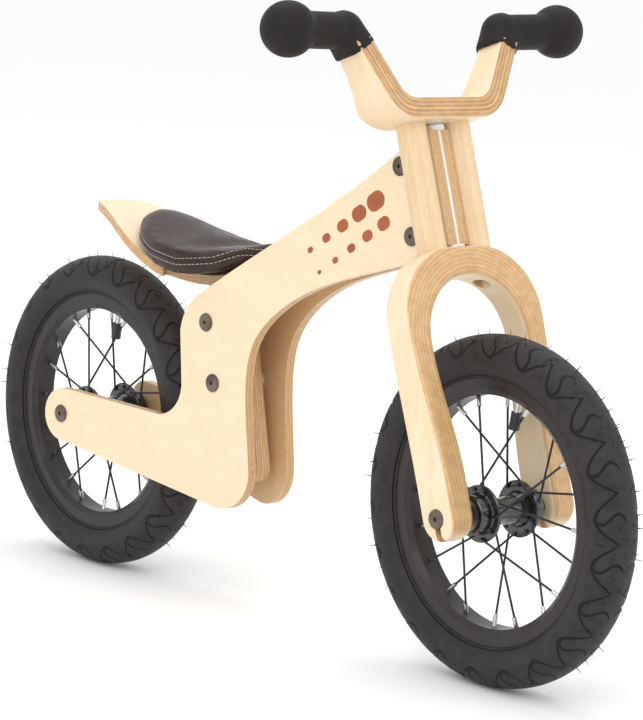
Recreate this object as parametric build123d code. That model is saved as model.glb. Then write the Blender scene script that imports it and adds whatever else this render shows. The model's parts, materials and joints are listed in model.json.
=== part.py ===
from build123d import *
import os
from math import atan, cos, pi, radians, sin, sqrt, tan

# Wooden balance bike. +X forward, +Y to the rider's left, +Z up, millimetres.
# The origin is on the ground, midway between the axles.

# ---- overall ----
wheelbase = 549.0
tyre_radius = 150.0
head_angle = 71.2          # steering axis above the horizontal, it meets the front axle
fit_gap = 0.05             # radial clearance of a pin or an axle in its bore
slide_gap = 0.4            # clearance between faces that move past each other

# ---- wheels ----
tyre_half_width = 22.5
tyre_wall = 3.5
rim_radius = 113.5
rim_inner_radius = 99.2
rim_half_width = 13.4
rim_wall = 1.8
rim_floor = 3.6
tube_wall = 1.2
tape_thickness = 0.8
tape_lift = 2.6            # tape's inside over the rim's floor, above the nipples
spoke_count = 20
spoke_radius = 1.0
nipple_radius = 2.0
nipple_length = 13.0
flange_radius = 24.5
flange_offset = 22.5
flange_thickness = 3.0
spoke_circle_radius = 21.0
spoke_lift = 1.1           # outer spokes clear the flange's rim by this
hub_barrel_radius = 13.0
hub_boss_radius = 17.5
hub_half_length = 37.0
bearing_radius = 13.0
bearing_width = 8.0
axle_radius = 5.0
valve_radius = 3.0
valve_length = 26.0
cap_radius = 4.6
cap_length = 15.0

# ---- bolts ----
bolt_head_radius = 8.25
bolt_head_height = 2.4
bolt_shank_radius = 3.0
bolt_recess = 0.8          # depth of a bolt head's flat seat in a fork leg
bolt_socket_radius = 2.0
bolt_socket_depth = 1.6
axle_thread = 14.0         # length of a bolt inside an axle's end
nut_barrel_radius = 4.0
spacer_wall = 2.5

# ---- frame panels ----
ply = 9.0
dropout_half = 45.0        # from the middle to a panel's inner face at the rear axle
head_gap = 3.2             # between the two panels at the head
bend_x = 412.0             # from the rear axle to the middle of the panel's bend
bend_reach = 20.0          # length of the bend each side of its middle
stay_half_height = 25.0    # panel's half height around the rear axle
panel_drop = 54.5          # lowest edge below the axle
shoulder_x = 157.5         # rear edge of the seat riser
riser_width = 94.0         # riser's rear edge to its front edge, at the lowest corner
top_beam_height = 143.5    # top edge over the axle at the back of the riser

# ---- head ----
head_length = 99.5
head_front = 7.2           # panel edge ahead of the steering axis
crown_clearance = 2.5      # crown's top to the panels
head_bolt_back = 37.5      # head bolts behind the steering axis
head_bolt_low = 16.7
head_bolt_pitch = 61.7
sleeve_radius = 7.0
bushing_flange_radius = 9.6
bushing_flange = 4.5
bushing_spigot = 8.0
bushing_spigot_radius = 5.6
pin_radius = 4.0
pin_depth = 9.0            # pin's blind hole in the crown and in the handlebar
washer_thickness = 1.6

# ---- fork ----
tyre_to_crown = 51.0
fork_thickness = 25.0
fork_drop_half = 47.0      # from the middle to a leg's inner face at the axle
fork_arch_half = 54.5
crown_flat_half = 17.0
crown_corner_radius = 62.0
crown_half_depth = 15.0
leg_half_depth = 19.5       # also the radius of a leg's round end
leg_straight = 25.0
fork_edge_radius = 5.5
dropout_slot = 6.6

# ---- pillars and handlebar ----
pillar_radius = 13.0
pillar_spacing = 51.0
pillar_bolt_radius = 3.0
counterbore_radius = 7.5
counterbore_lift = 3.0     # bolt head's seat above the underside of the crown's middle
nut_depth = 2.8
bar_thickness = 18.0
bar_front = 25.5           # strip's front edge ahead of the steering axis
bar_back = 22.0
bar_arm_back = 8.0         # strip's back edge at the top of an arm
bar_corner_half = 52.0     # centre line's corner from the middle
bar_bend_radius = 29.5
arm_angle = 29.5           # arm outwards from the steering axis
arm_length = 70.0          # from the corner along the arm
bar_edge_radius = 2.0
stub_radius = 5.0
stub_depth = 22.0
grip_radius = 15.75
ball_radius = 23.75
elbow_radius = 17.5
elbow_lift = 9.0           # elbow's centre over the arm's end
grip_reach = 156.0         # from the middle to a ball's centre
grip_sweep = 5.0
grip_mouth = 20.0          # foam's reach down the arm from the elbow

# ---- seat ----
mast_thickness = 15.0
mast_lean = 12.2           # degrees from vertical, top to the rear
mast_half_width = 23.0
mast_bolt_pitch = 56.0
mast_bolt_x = 201.4        # lower mast bolt from the rear axle
mast_bolt_z = 58.7         # lower mast bolt over the axle
mast_tail = 94.0           # mast below its lower bolt
seat_travel = 40.0
seat_height = 154.0        # saddle base's lowest top over the axle
base_ply = 9.0
base_half_width = 46.0
base_nose_half_width = 16.0
tail_reach = 194.0         # tail's tip behind the mast line
tail_rise = 50.0
base_nose = 44.0           # base's front end ahead of the mast line
base_nose_rise = 18.0
pad_half_width = 57.0
pad_rear = 118.0           # pad's rear end behind the mast line
pad_front = 69.0
pad_height = 27.0
pad_rear_rise = 26.0
pad_nose_depth = 8.0
pad_gap = 0.3
screw_radius = 2.0
screw_head_radius = 4.0
screw_length = 34.0
screw_spacing = 24.0
screw_sink = 2.2           # screw heads below the board's top


axle_x = wheelbase / 2
front_axle = Vector(axle_x, 0, tyre_radius)
rear_axle = Vector(-axle_x, 0, tyre_radius)
lean_cos, lean_sin = cos(radians(head_angle)), sin(radians(head_angle))
steer_up = Vector(-lean_cos, 0, lean_sin)
steer_ahead = Vector(lean_sin, 0, lean_cos)
across = Vector(0, 1, 0)
sides = ((-1, "right"), (1, "left"))

# levels along the steering axis, from the front axle
crown_under = tyre_radius + tyre_to_crown
arch_centre = crown_under - fork_arch_half
crown_top = crown_under + fork_thickness
head_low = crown_top + crown_clearance
head_high = head_low + head_length
bar_under = head_high + bushing_flange + washer_thickness + slide_gap
bar_top = bar_under + bar_thickness
pillar_half = pillar_spacing / 2

os.makedirs("parts", exist_ok=True)


def save(shape, name):
    shape = Compound(children=list(shape.solids())) if len(shape.solids()) > 1 else shape.solids()[0]
    shape.label = name
    export_step(shape, f"parts/{name}.step")
    print(f"{name}: {len(shape.solids())} solid(s), {shape.volume / 1000:.1f} cm3")


def group(shapes):
    return Compound(children=[solid for shape in shapes for solid in shape.solids()])


def head_point(ahead, up, side=0.0):
    return front_axle + steer_ahead * ahead + steer_up * up + across * side


def frame_point(x, z):
    return (x - axle_x, z + tyre_radius)


def rod(start, end, radius):
    start, end = Vector(*start), Vector(*end)
    return Solid.make_cylinder(radius, (end - start).length, Plane(origin=start, z_dir=end - start))


def cross_rod(x, z, y_from, y_to, radius):
    return rod((x, y_from, z), (x, y_to, z), radius)


def pipe(start, end, outer, inner):
    return rod(start, end, outer) - rod(start, end, inner)


def plate(face, half_width):
    # outline in X and Z, extruded both ways along Y
    return extrude(Plane.XZ * face, half_width, both=True)


# outline across the bike and along the steering axis, extruded ahead
steer_face = Plane(origin=front_axle, x_dir=(0, 1, 0), z_dir=steer_ahead)
# outline ahead of and along the steering axis, extruded sideways
steer_side = Plane(origin=front_axle, x_dir=steer_ahead, z_dir=(0, -1, 0))


# ---- frame panels ----
outer_half_head = head_gap / 2 + ply
bend_angle = atan((dropout_half + ply - outer_half_head) / bend_x)
beam_back = frame_point(shoulder_x + 18.5, top_beam_height - 7.5)


def head_xz(ahead, up):
    point = head_point(ahead, up)
    return (point.X, point.Z)


def blend(start, end, share, off):
    # a point part of the way from start to end, moved off the line to its left
    dx, dz = end[0] - start[0], end[1] - start[1]
    run = sqrt(dx * dx + dz * dz)
    return (start[0] + dx * share - dz / run * off, start[1] + dz * share + dx / run * off)


def panel_outline():
    top_front = head_xz(head_front, head_high)
    top_back = head_xz(head_front - 19.0, head_high)
    low_front = head_xz(head_front, head_low)
    low_step = head_xz(-crown_half_depth - 5.0, head_low)
    low_back = head_xz(head_front - 35.5, head_low - 4.5)
    throat = frame_point(shoulder_x + riser_width - 8.0, 54.0)
    corner_top = frame_point(shoulder_x + riser_width, -14.0)
    corner_mid = frame_point(shoulder_x + riser_width - 13.0, -panel_drop + 7.0)
    corner_low = frame_point(shoulder_x + riser_width - 47.0, -panel_drop)
    stay_low = frame_point(6.0, -stay_half_height - 1.0)
    stay_high = frame_point(6.0, stay_half_height)
    stay_end = frame_point(-stay_half_height + 2.5, 0.0)
    notch_low = frame_point(shoulder_x - 24.0, stay_half_height - 5.5)
    notch_mid = frame_point(shoulder_x - 5.0, stay_half_height + 4.0)
    notch_high = frame_point(shoulder_x + 4.0, stay_half_height + 27.0)
    shoulder_low = frame_point(shoulder_x - 0.5, 102.0)
    shoulder_mid = frame_point(shoulder_x + 6.0, 122.0)
    top_line = [beam_back, blend(beam_back, top_back, 0.22, -1.0), blend(beam_back, top_back, 0.62, -5.0)]
    low_line = [throat, blend(throat, low_back, 0.13, 34.5), blend(throat, low_back, 0.3, 44.5),
                blend(throat, low_back, 0.63, 31.0)]
    return [
        Line(top_front, top_back),
        Spline(top_back, *reversed(top_line)),
        ThreePointArc(beam_back, shoulder_mid, shoulder_low),
        Line(shoulder_low, notch_high),
        ThreePointArc(notch_high, notch_mid, notch_low),
        Line(notch_low, stay_high),
        ThreePointArc(stay_high, stay_end, stay_low),
        Line(stay_low, corner_low),
        ThreePointArc(corner_low, corner_mid, corner_top),
        Spline(corner_top, *low_line, low_back),
        Line(low_back, low_step),
        Line(low_step, low_front),
        Line(low_front, top_front),
    ]


def panel_slab(side):
    # plan view: splayed board, a gentle bend, then parallel at the head
    bend_start = (bend_x - bend_reach - axle_x, outer_half_head + bend_reach * tan(bend_angle))
    bend_end = (bend_x + bend_reach * cos(bend_angle) - axle_x, outer_half_head)
    rear_x = -2 * stay_half_height
    rear = (rear_x - axle_x, outer_half_head + (bend_x - rear_x) * tan(bend_angle))
    front = (wheelbase - axle_x, outer_half_head)
    outer = [Line(rear, bend_start), TangentArc(bend_start, bend_end, tangent=(cos(bend_angle), -sin(bend_angle))),
             Line(bend_end, front)]
    inner = [offset_point(rear, bend_angle), offset_point(bend_start, bend_angle),
             (bend_end[0], bend_end[1] - ply), (front[0], front[1] - ply)]
    wires = outer + [
        Line(front, inner[3]), Line(inner[3], inner[2]),
        TangentArc(inner[2], inner[1], tangent=(-1, 0)),
        Line(inner[1], inner[0]), Line(inner[0], rear)]
    slab = extrude(make_face(wires), 4 * tyre_radius)
    return slab if side > 0 else mirror(slab, Plane.XZ)


def offset_point(point, angle):
    return (point[0] - ply * sin(angle), point[1] - ply * cos(angle))


def inner_half(x):
    # panel's inner face at a distance ahead of the rear axle
    if x > bend_x + bend_reach:
        return head_gap / 2
    return outer_half_head + (bend_x - x) * tan(bend_angle) - ply / cos(bend_angle)


def outer_half(x):
    return inner_half(x) + (ply if x > bend_x + bend_reach else ply / cos(bend_angle))


def bolt_seat(x):
    # level of the flat seat cut for a bolt head
    slant = 0.0 if x > bend_x + bend_reach else tan(bend_angle)
    return outer_half(x) - bolt_head_radius * slant * 0.6


mast_bolts = [(mast_bolt_x, mast_bolt_z),
              (mast_bolt_x - mast_bolt_pitch * sin(radians(mast_lean)),
               mast_bolt_z + mast_bolt_pitch * cos(radians(mast_lean)))]
head_bolts = []
for rise in (head_bolt_low, head_bolt_low + head_bolt_pitch):
    place = head_point(-head_bolt_back, head_low + rise)
    head_bolts.append((place.X + axle_x, place.Z - tyre_radius))


def bolt_cut(x, z, side, hole_radius):
    # hole for the shank and the flat seat for the head
    px, pz = frame_point(x, z)
    hole = cross_rod(px, pz, 0, side * 3 * dropout_half, hole_radius)
    seat = cross_rod(px, pz, side * bolt_seat(x), side * 3 * dropout_half, bolt_head_radius + 0.3)
    return hole + seat


def frame_panel(side):
    blank = plate(make_face(panel_outline()), 2 * dropout_half) & panel_slab(side)
    blank = blank.solids()[0]
    blank -= bolt_cut(0.0, 0.0, side, bolt_shank_radius + fit_gap)
    for x, z in mast_bolts + head_bolts:
        blank -= bolt_cut(x, z, side, nut_barrel_radius + fit_gap)
    groove = rod(head_point(0, 0), head_point(0, 2 * head_high), sleeve_radius + fit_gap)
    return blank - groove


for side, word in sides:
    save(frame_panel(side), f"frame_panel_{word}")


# ---- bolts ----
def socket_head(x, z, seat, side):
    # flat round head with a hexagon socket, its underside at the seat
    low, high = side * seat, side * (seat + bolt_head_height)
    disc = cross_rod(x, z, low, high, bolt_head_radius)
    rim = disc.edges().filter_by(GeomType.CIRCLE).sort_by(Axis.Y)[-1 if side > 0 else 0]
    disc = fillet(rim, bolt_head_height * 0.45)
    plane = Plane(origin=(x, high, z), z_dir=(0, -side, 0))
    return disc - extrude(plane * RegularPolygon(bolt_socket_radius, 6), bolt_socket_depth)


def bolt_pair(places):
    # a bolt from the right and a sleeve nut from the left, meeting inside
    bolts, nuts = [], []
    for x, z in places:
        px, pz = frame_point(x, z)
        seat = bolt_seat(x)
        bolts.append(socket_head(px, pz, seat, -1) + cross_rod(px, pz, -seat, seat * 0.4, bolt_shank_radius))
        sleeve = cross_rod(px, pz, -seat + 1.0, seat, nut_barrel_radius)
        sleeve -= cross_rod(px, pz, -seat, seat * 0.6, bolt_shank_radius + fit_gap)
        nuts.append(socket_head(px, pz, seat, 1) + sleeve)
    return group(bolts), group(nuts)


for places, word in ((mast_bolts, "seat"), (head_bolts, "head")):
    bolts, nuts = bolt_pair(places)
    save(bolts, f"{word}_bolts")
    save(nuts, f"{word}_sleeve_nuts")


def spacer(x, z, y_from, y_to):
    return cross_rod(x, z, y_from, y_to, nut_barrel_radius + spacer_wall) \
        - cross_rod(x, z, y_from - 1, y_to + 1, nut_barrel_radius + fit_gap)


def seat_spacers():
    # tubes from the mast's faces to the splayed panels
    parts = []
    for x, z in mast_bolts:
        px, pz = frame_point(x, z)
        for side, _ in sides:
            ends = sorted((side * (mast_thickness / 2 + slide_gap), side * outer_half(x)))
            parts.append(spacer(px, pz, *ends) - panel_slab(side))
    return group([max(part.solids(), key=lambda solid: solid.volume) for part in parts])


def head_spacers():
    parts = []
    for x, z in head_bolts:
        px, pz = frame_point(x, z)
        tube = spacer(px, pz, -outer_half(x), outer_half(x)) - panel_slab(1) - panel_slab(-1)
        parts.append(tube.solids().sort_by(SortBy.VOLUME)[-1])
    return group(parts)


save(seat_spacers(), "seat_spacers")
save(head_spacers(), "head_spacers")


# ---- head ----
def head_sleeve():
    tube = pipe(head_point(0, head_low), head_point(0, head_high), sleeve_radius, pin_radius + 0.6)
    for start, end in ((head_low, head_low + bushing_spigot), (head_high - bushing_spigot, head_high)):
        tube -= rod(head_point(0, start), head_point(0, end), bushing_spigot_radius + fit_gap)
    return tube


def head_bushing(seat, away, flange_height):
    # flange against the panels, spigot inside the sleeve
    flange_end = seat + away * flange_height
    flange = rod(head_point(0, seat), head_point(0, flange_end), bushing_flange_radius)
    spigot = rod(head_point(0, seat - away * bushing_spigot), head_point(0, seat), bushing_spigot_radius)
    bore = rod(head_point(0, seat - away * (bushing_spigot + 1)), head_point(0, flange_end + away),
               pin_radius + fit_gap)
    return flange + spigot - bore


save(head_sleeve(), "head_sleeve")
save(head_bushing(head_high, 1, bushing_flange), "head_bushing_top")
save(head_bushing(head_low, -1, crown_clearance - slide_gap), "head_bushing_bottom")
save(pipe(head_point(0, bar_under - washer_thickness), head_point(0, bar_under),
          bushing_flange_radius, pin_radius + fit_gap), "steering_washer")
save(rod(head_point(0, crown_top - pin_depth), head_point(0, bar_under + pin_depth), pin_radius), "steering_pin")


# ---- fork ----
def mirrored(wires):
    return wires + [mirror(wire, Plane.YZ) for wire in wires]


def fork_front():
    # half of the front view, then its mirror image
    outer_drop = fork_drop_half + fork_thickness + 1.0
    outer_arch = fork_arch_half + fork_thickness
    corner_x = outer_arch - crown_corner_radius
    corner_y = crown_top - crown_corner_radius
    diagonal = crown_corner_radius * sqrt(0.5)
    half = [
        Line((0, crown_top), (corner_x, crown_top)),
        ThreePointArc((corner_x, crown_top), (corner_x + diagonal, corner_y + diagonal), (outer_arch, corner_y)),
        Spline((outer_arch, corner_y), (outer_drop, leg_straight), tangents=((0, -1), (0, -1))),
        Line((outer_drop, leg_straight), (outer_drop, -2 * leg_half_depth)),
        Line((outer_drop, -2 * leg_half_depth), (fork_drop_half, -2 * leg_half_depth)),
        Line((fork_drop_half, -2 * leg_half_depth), (fork_drop_half, leg_straight)),
        Spline((fork_drop_half, leg_straight), (fork_arch_half, arch_centre), tangents=((0, 1), (0, 1))),
        ThreePointArc((fork_arch_half, arch_centre),
                      (fork_arch_half * sqrt(0.5), arch_centre + fork_arch_half * sqrt(0.5)),
                      (0, arch_centre + fork_arch_half)),
    ]
    return make_face(mirrored(half))


def fork_side():
    # side view: narrow at the crown, wide at the legs, round at the ends
    return make_face([
        Line((crown_half_depth, crown_top + 1), (crown_half_depth, arch_centre)),
        Spline((crown_half_depth, arch_centre), (leg_half_depth, leg_straight), tangents=((0, -1), (0, -1))),
        Line((leg_half_depth, leg_straight), (leg_half_depth, 0)),
        ThreePointArc((leg_half_depth, 0), (0, -leg_half_depth), (-leg_half_depth, 0)),
        Line((-leg_half_depth, 0), (-leg_half_depth, leg_straight)),
        Spline((-leg_half_depth, leg_straight), (-crown_half_depth, arch_centre * 1.25), tangents=((0, 1), (0, 1))),
        Line((-crown_half_depth, arch_centre * 1.25), (-crown_half_depth, crown_top + 1)),
        Line((-crown_half_depth, crown_top + 1), (crown_half_depth, crown_top + 1)),
    ])


def fork():
    body = extrude(steer_face * fork_front(), 2 * leg_half_depth, both=True)
    body &= extrude(steer_side * fork_side(), 4 * fork_arch_half, both=True)
    body = body.solids()[0]
    long_edges = [edge for edge in body.edges() if is_rim(edge)]
    body = fillet(long_edges, fork_edge_radius)
    for side, _ in sides:
        seat = side * (fork_drop_half + fork_thickness + 1.0 - bolt_recess)
        end = side * 2 * fork_arch_half
        body -= rod(head_point(0, 0, side * 10), head_point(0, 0, end), bolt_shank_radius + fit_gap)
        body -= rod(head_point(0, 0, seat), head_point(0, 0, end), bolt_head_radius + 0.3)
        side_middle = side * (fork_drop_half + fork_thickness / 2)
        slot = Box(dropout_slot, 2 * fork_thickness, 2 * leg_half_depth)
        slot_plane = Plane(origin=head_point(0, -leg_half_depth, side_middle), x_dir=steer_ahead, z_dir=steer_up)
        body -= slot_plane * slot
        foot = side * pillar_half
        body -= rod(head_point(0, arch_centre, foot), head_point(0, crown_top + 1, foot),
                    pillar_bolt_radius + fit_gap)
        body -= rod(head_point(0, arch_centre, foot),
                    head_point(0, crown_under + counterbore_lift, foot), counterbore_radius)
    return body - rod(head_point(0, crown_top - pin_depth), head_point(0, crown_top + 1), pin_radius + fit_gap)


def is_rim(edge):
    # an edge where the strip's inner or outer face meets its front, back or end
    middle = edge.position_at(0.5) - front_axle
    crosses = abs(edge.tangent_at(0.5).dot(across)) > 0.99 and abs(middle.Y) > crown_flat_half
    depth = abs(middle.dot(steer_ahead))
    return not crosses and (depth > crown_half_depth - 0.5 or middle.dot(steer_up) < -crown_half_depth)


fork_body = fork()
save(fork_body, "fork")


# ---- pillars ----
def pillar(side, bar):
    # both ends follow the curved strips that they stand between
    foot = side * pillar_half
    column = rod(head_point(0, crown_under, foot), head_point(0, bar_top, foot), pillar_radius)
    column -= rod(head_point(0, crown_under - 1, foot), head_point(0, bar_top + 1, foot),
                  pillar_bolt_radius + fit_gap)
    column -= rod(head_point(0, bar_under, foot), head_point(0, bar_top + 1, foot), nut_barrel_radius + fit_gap)
    column = column - fork_body - bar
    return column.solids().sort_by(SortBy.VOLUME)[-1]


def pillar_bolts():
    bolts = []
    for side, _ in sides:
        low = crown_under + counterbore_lift
        shank = rod(head_point(0, low, side * pillar_half), head_point(0, bar_top - nut_depth, side * pillar_half),
                    pillar_bolt_radius)
        head = rod(head_point(0, low - bolt_head_height, side * pillar_half),
                   head_point(0, low, side * pillar_half), counterbore_radius - 0.5)
        socket = Plane(origin=head_point(0, low - bolt_head_height, side * pillar_half), z_dir=steer_up)
        head -= extrude(socket * RegularPolygon(bolt_socket_radius, 6), bolt_socket_depth)
        bolts.append(shank + head)
    return group(bolts)


def bar_nuts():
    # flat round nuts let into the top of the handlebar
    nuts = []
    for side, _ in sides:
        foot = side * pillar_half
        disc = rod(head_point(0, bar_top - nut_depth, foot), head_point(0, bar_top - 0.4, foot),
                   counterbore_radius - 0.5)
        sleeve = rod(head_point(0, bar_top - nut_depth - 6.0, foot), head_point(0, bar_top - nut_depth, foot),
                     nut_barrel_radius)
        bore = rod(head_point(0, bar_under, foot), head_point(0, bar_top - nut_depth, foot),
                   pillar_bolt_radius + fit_gap)
        nuts.append(disc + sleeve - bore)
    return group(nuts)


save(pillar_bolts(), "pillar_bolts")
save(bar_nuts(), "handlebar_nuts")


# ---- handlebar ----
bar_middle = bar_under + bar_thickness / 2
arm_out, arm_up = sin(radians(arm_angle)), cos(radians(arm_angle))
arm_end = (bar_corner_half + arm_length * arm_out, bar_middle + arm_length * arm_up)


def handlebar():
    corner = (bar_corner_half, bar_middle)
    centre_line = FilletPolyline((-arm_end[0], arm_end[1]), (-corner[0], corner[1]), corner, arm_end,
                                 radius=bar_bend_radius)
    body = extrude(steer_face * trace(centre_line, bar_thickness), 2 * bar_front, both=True)
    top = arm_end[1] + bar_thickness
    back = [(-bar_back, bar_top - 3.0), (-bar_back * 0.72, bar_top + 7.0), (-bar_arm_back - 1.0, bar_top + 24.0),
            (-bar_arm_back, top)]
    outline = [
        Line((bar_front, bar_under - 1), (bar_front, top)), Line((bar_front, top), back[3]),
        Spline(*reversed(back)), Line(back[0], (-bar_back, bar_under - 1)),
        Line((-bar_back, bar_under - 1), (bar_front, bar_under - 1)),
    ]
    body &= extrude(steer_side * make_face(outline), 3 * bar_corner_half, both=True)
    body = body.solids()[0]
    body = fillet([edge for edge in body.edges() if bar_rim(edge)], bar_edge_radius)
    for side, _ in sides:
        foot = side * pillar_half
        body -= rod(head_point(0, bar_under - 1, foot), head_point(0, bar_top, foot), nut_barrel_radius + fit_gap)
        body -= rod(head_point(0, bar_top - nut_depth, foot), head_point(0, bar_top + 20, foot), counterbore_radius)
        body -= stub_bore(side, stub_radius + fit_gap)
    return body - rod(head_point(0, bar_under - 1), head_point(0, bar_under + pin_depth), pin_radius + fit_gap)


def bar_rim(edge):
    middle = edge.position_at(0.5) - front_axle
    ahead = middle.dot(steer_ahead)
    back_edge = ahead < -bar_arm_back + 0.5
    return (ahead > bar_front - 0.5 or back_edge) and edge.length > bar_thickness + 2


# ---- grips ----
grip_ahead = (bar_front - bar_arm_back) / 2
elbow_up = arm_end[1] + elbow_lift
elbow_out = bar_corner_half + (elbow_up - bar_middle) * arm_out / arm_up


def stub_points(side):
    low_up = arm_end[1] - stub_depth * arm_up
    low_out = arm_end[0] - stub_depth * arm_out
    return [head_point(grip_ahead, low_up, side * low_out), head_point(grip_ahead, elbow_up, side * elbow_out),
            head_point(grip_ahead + grip_sweep, elbow_up, side * grip_reach)]


def stub_bore(side, radius):
    low, elbow, _ = stub_points(side)
    return rod(low, elbow, radius)


def bar_stub(side):
    low, elbow, ball = stub_points(side)
    return rod(low, elbow, stub_radius) + Sphere(stub_radius).moved(Location(elbow)) + rod(elbow, ball, stub_radius)


def grip(side, bar):
    low, elbow, ball = stub_points(side)
    mouth = elbow - (elbow - low).normalized() * grip_mouth
    sleeve = loft([Plane(origin=mouth, x_dir=steer_ahead, z_dir=elbow - low) * mouth_shape(),
                   Plane(origin=elbow, x_dir=steer_ahead, z_dir=elbow - low) * Circle(elbow_radius)])
    body = sleeve + Sphere(elbow_radius).moved(Location(elbow)) + rod(elbow, ball, grip_radius)
    body += Sphere(ball_radius).moved(Location(ball))
    body = body - bar_stub(side) - bar
    return body.solids().sort_by(SortBy.VOLUME)[-1]


def mouth_shape():
    wide = bar_front + bar_arm_back + 4.0
    return RectangleRounded(wide, bar_thickness + 8.0, bar_thickness / 2)


bar_body = handlebar()
save(bar_body, "handlebar")
for side, word in sides:
    save(pillar(side, bar_body), f"pillar_{word}")
    save(bar_stub(side), f"bar_stub_{word}")
    save(grip(side, bar_body), f"grip_{word}")


# ---- wheels, modelled around the origin with the axle along Y ----
def ring_section(points):
    return revolve(make_face(Polyline(*points, close=True)), Axis.Y)


def tyre():
    # crowned casing, open towards the rim
    shoulder = rim_radius + 0.62 * (tyre_radius - rim_radius)
    bead = rim_half_width - rim_wall - 0.4
    outer_start = (rim_radius + 1.0, rim_half_width + 0.6)
    inner_start = (rim_radius - 1.0, bead - 1.6)
    widest = (rim_radius + 0.45 * (tyre_radius - rim_radius), tyre_half_width)
    outer = Spline(outer_start, widest, (shoulder + 9.0, tyre_half_width * 0.72), (tyre_radius, 0),
                   tangents=((0.5, 1), (0, -1)))
    inner = Spline(inner_start, (widest[0], tyre_half_width - tyre_wall),
                   (shoulder + 6.5, tyre_half_width * 0.6), (tyre_radius - tyre_wall - 1.5, 0),
                   tangents=((0.5, 1), (0, -1)))
    foot = (rim_radius - 7.0, bead)
    foot_inner = (rim_radius - 7.0, bead - 3.4)
    half = [outer, Line((tyre_radius, 0), (tyre_radius - tyre_wall - 1.5, 0)), inner,
            Line(inner_start, foot_inner), Line(foot_inner, foot), Line(foot, (rim_radius + 0.4, bead)),
            Line((rim_radius + 0.4, bead), outer_start)]
    upper = revolve(make_face(half), Axis.Y)
    return upper + mirror(upper, Plane.XZ)


tape_low = rim_inner_radius + rim_floor + tape_lift
tube_low = tape_low + tape_thickness + 0.6


def inner_tube():
    # soft ring that fills the casing
    low = tube_low
    high = tyre_radius - tyre_wall - 2.3
    middle = (low + high) / 2
    section = Pos(middle, 0) * Ellipse((high - low) / 2, rim_half_width - rim_wall - 4.6)
    hollow = Pos(middle, 0) * Ellipse((high - low) / 2 - tube_wall, rim_half_width - rim_wall - 4.6 - tube_wall)
    return revolve(section - hollow, Axis.Y)


def spoke_ends(index, side):
    # hub hole and rim hole of one crossed spoke
    step = 4 * pi / spoke_count
    start = index * step + (step / 2 if side > 0 else 0)
    lead = step if index % 2 == 0 else -step
    inward = 1 if index % 2 == 0 else -1
    lift = spoke_lift if inward > 0 else fit_gap
    hub_y = side * (flange_offset + inward * (flange_thickness / 2 + spoke_radius + lift))
    hub_end = Vector(spoke_circle_radius * cos(start), hub_y, spoke_circle_radius * sin(start))
    angle = start + lead
    rim_end = Vector(rim_inner_radius * cos(angle), side * 2.0, rim_inner_radius * sin(angle))
    return hub_end, rim_end


def all_spokes():
    return [spoke_ends(index, side) for side in (-1, 1) for index in range(spoke_count // 2)]


def spokes():
    rods = []
    for hub_end, rim_end in all_spokes():
        line = (rim_end - hub_end).normalized()
        side = 1 if hub_end.Y > 0 else -1
        through = Vector(hub_end.X, side * flange_offset, hub_end.Z)
        inward = 1 if hub_end.Y * side > flange_offset else -1
        head = through - across * (side * inward * (flange_thickness / 2 + 0.1))
        elbow = rod(head - across * (side * inward * 1.0), hub_end, spoke_radius)
        knob = rod(head - across * (side * inward * 1.2), head, spoke_radius + 0.7)
        shaft = rod(hub_end, rim_end - line * (nipple_length * 0.45), spoke_radius)
        rods.append(elbow + knob + shaft + Sphere(spoke_radius).moved(Location(hub_end)))
    return group(rods)


def nipple_line(hub_end, rim_end):
    line = (rim_end - hub_end).normalized()
    return rim_end - line * nipple_length * 0.75, rim_end + line * (rim_floor + 0.8), line


def nipples():
    parts = []
    for hub_end, rim_end in all_spokes():
        start, end, line = nipple_line(hub_end, rim_end)
        body = rod(start, end, nipple_radius) + rod(end - line * 0.4, end + line * 0.8, nipple_radius + 1.0)
        stop = rim_end - line * (nipple_length * 0.45)
        parts.append(body - rod(start - line, stop, spoke_radius + fit_gap))
    return group(parts)


def rim():
    high, low, half = rim_radius, rim_inner_radius, rim_half_width
    floor = low + rim_floor
    section = [(high, half), (high, half - rim_wall), (floor + 3.0, half - rim_wall), (floor, half - rim_wall - 3.0),
               (floor, -half + rim_wall + 3.0), (floor + 3.0, -half + rim_wall), (high, -half + rim_wall),
               (high, -half), (low + 5.0, -half), (low, -half + 4.0), (low, half - 4.0), (low + 5.0, half)]
    ring = ring_section(section)
    for hub_end, rim_end in all_spokes():
        start, end, line = nipple_line(hub_end, rim_end)
        ring -= rod(start, end + line, nipple_radius + fit_gap)
        ring -= rod(rim_end + line * (rim_floor - 0.1), end + line * 2, nipple_radius + 1.2)
    return ring - rod(valve_point(low - 4), valve_point(high), valve_radius + fit_gap)


valve_angle = 4 * pi / spoke_count * 2.25


def valve_point(radius):
    return Vector(radius * cos(valve_angle), 0, radius * sin(valve_angle))


def rim_tape():
    low, high = tape_low, tape_low + tape_thickness
    half = rim_half_width - rim_wall - 3.4
    strip = ring_section([(low, half), (high, half), (high, -half), (low, -half)])
    return strip - rod(valve_point(low - 4), valve_point(high + 4), valve_radius + fit_gap)


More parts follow.
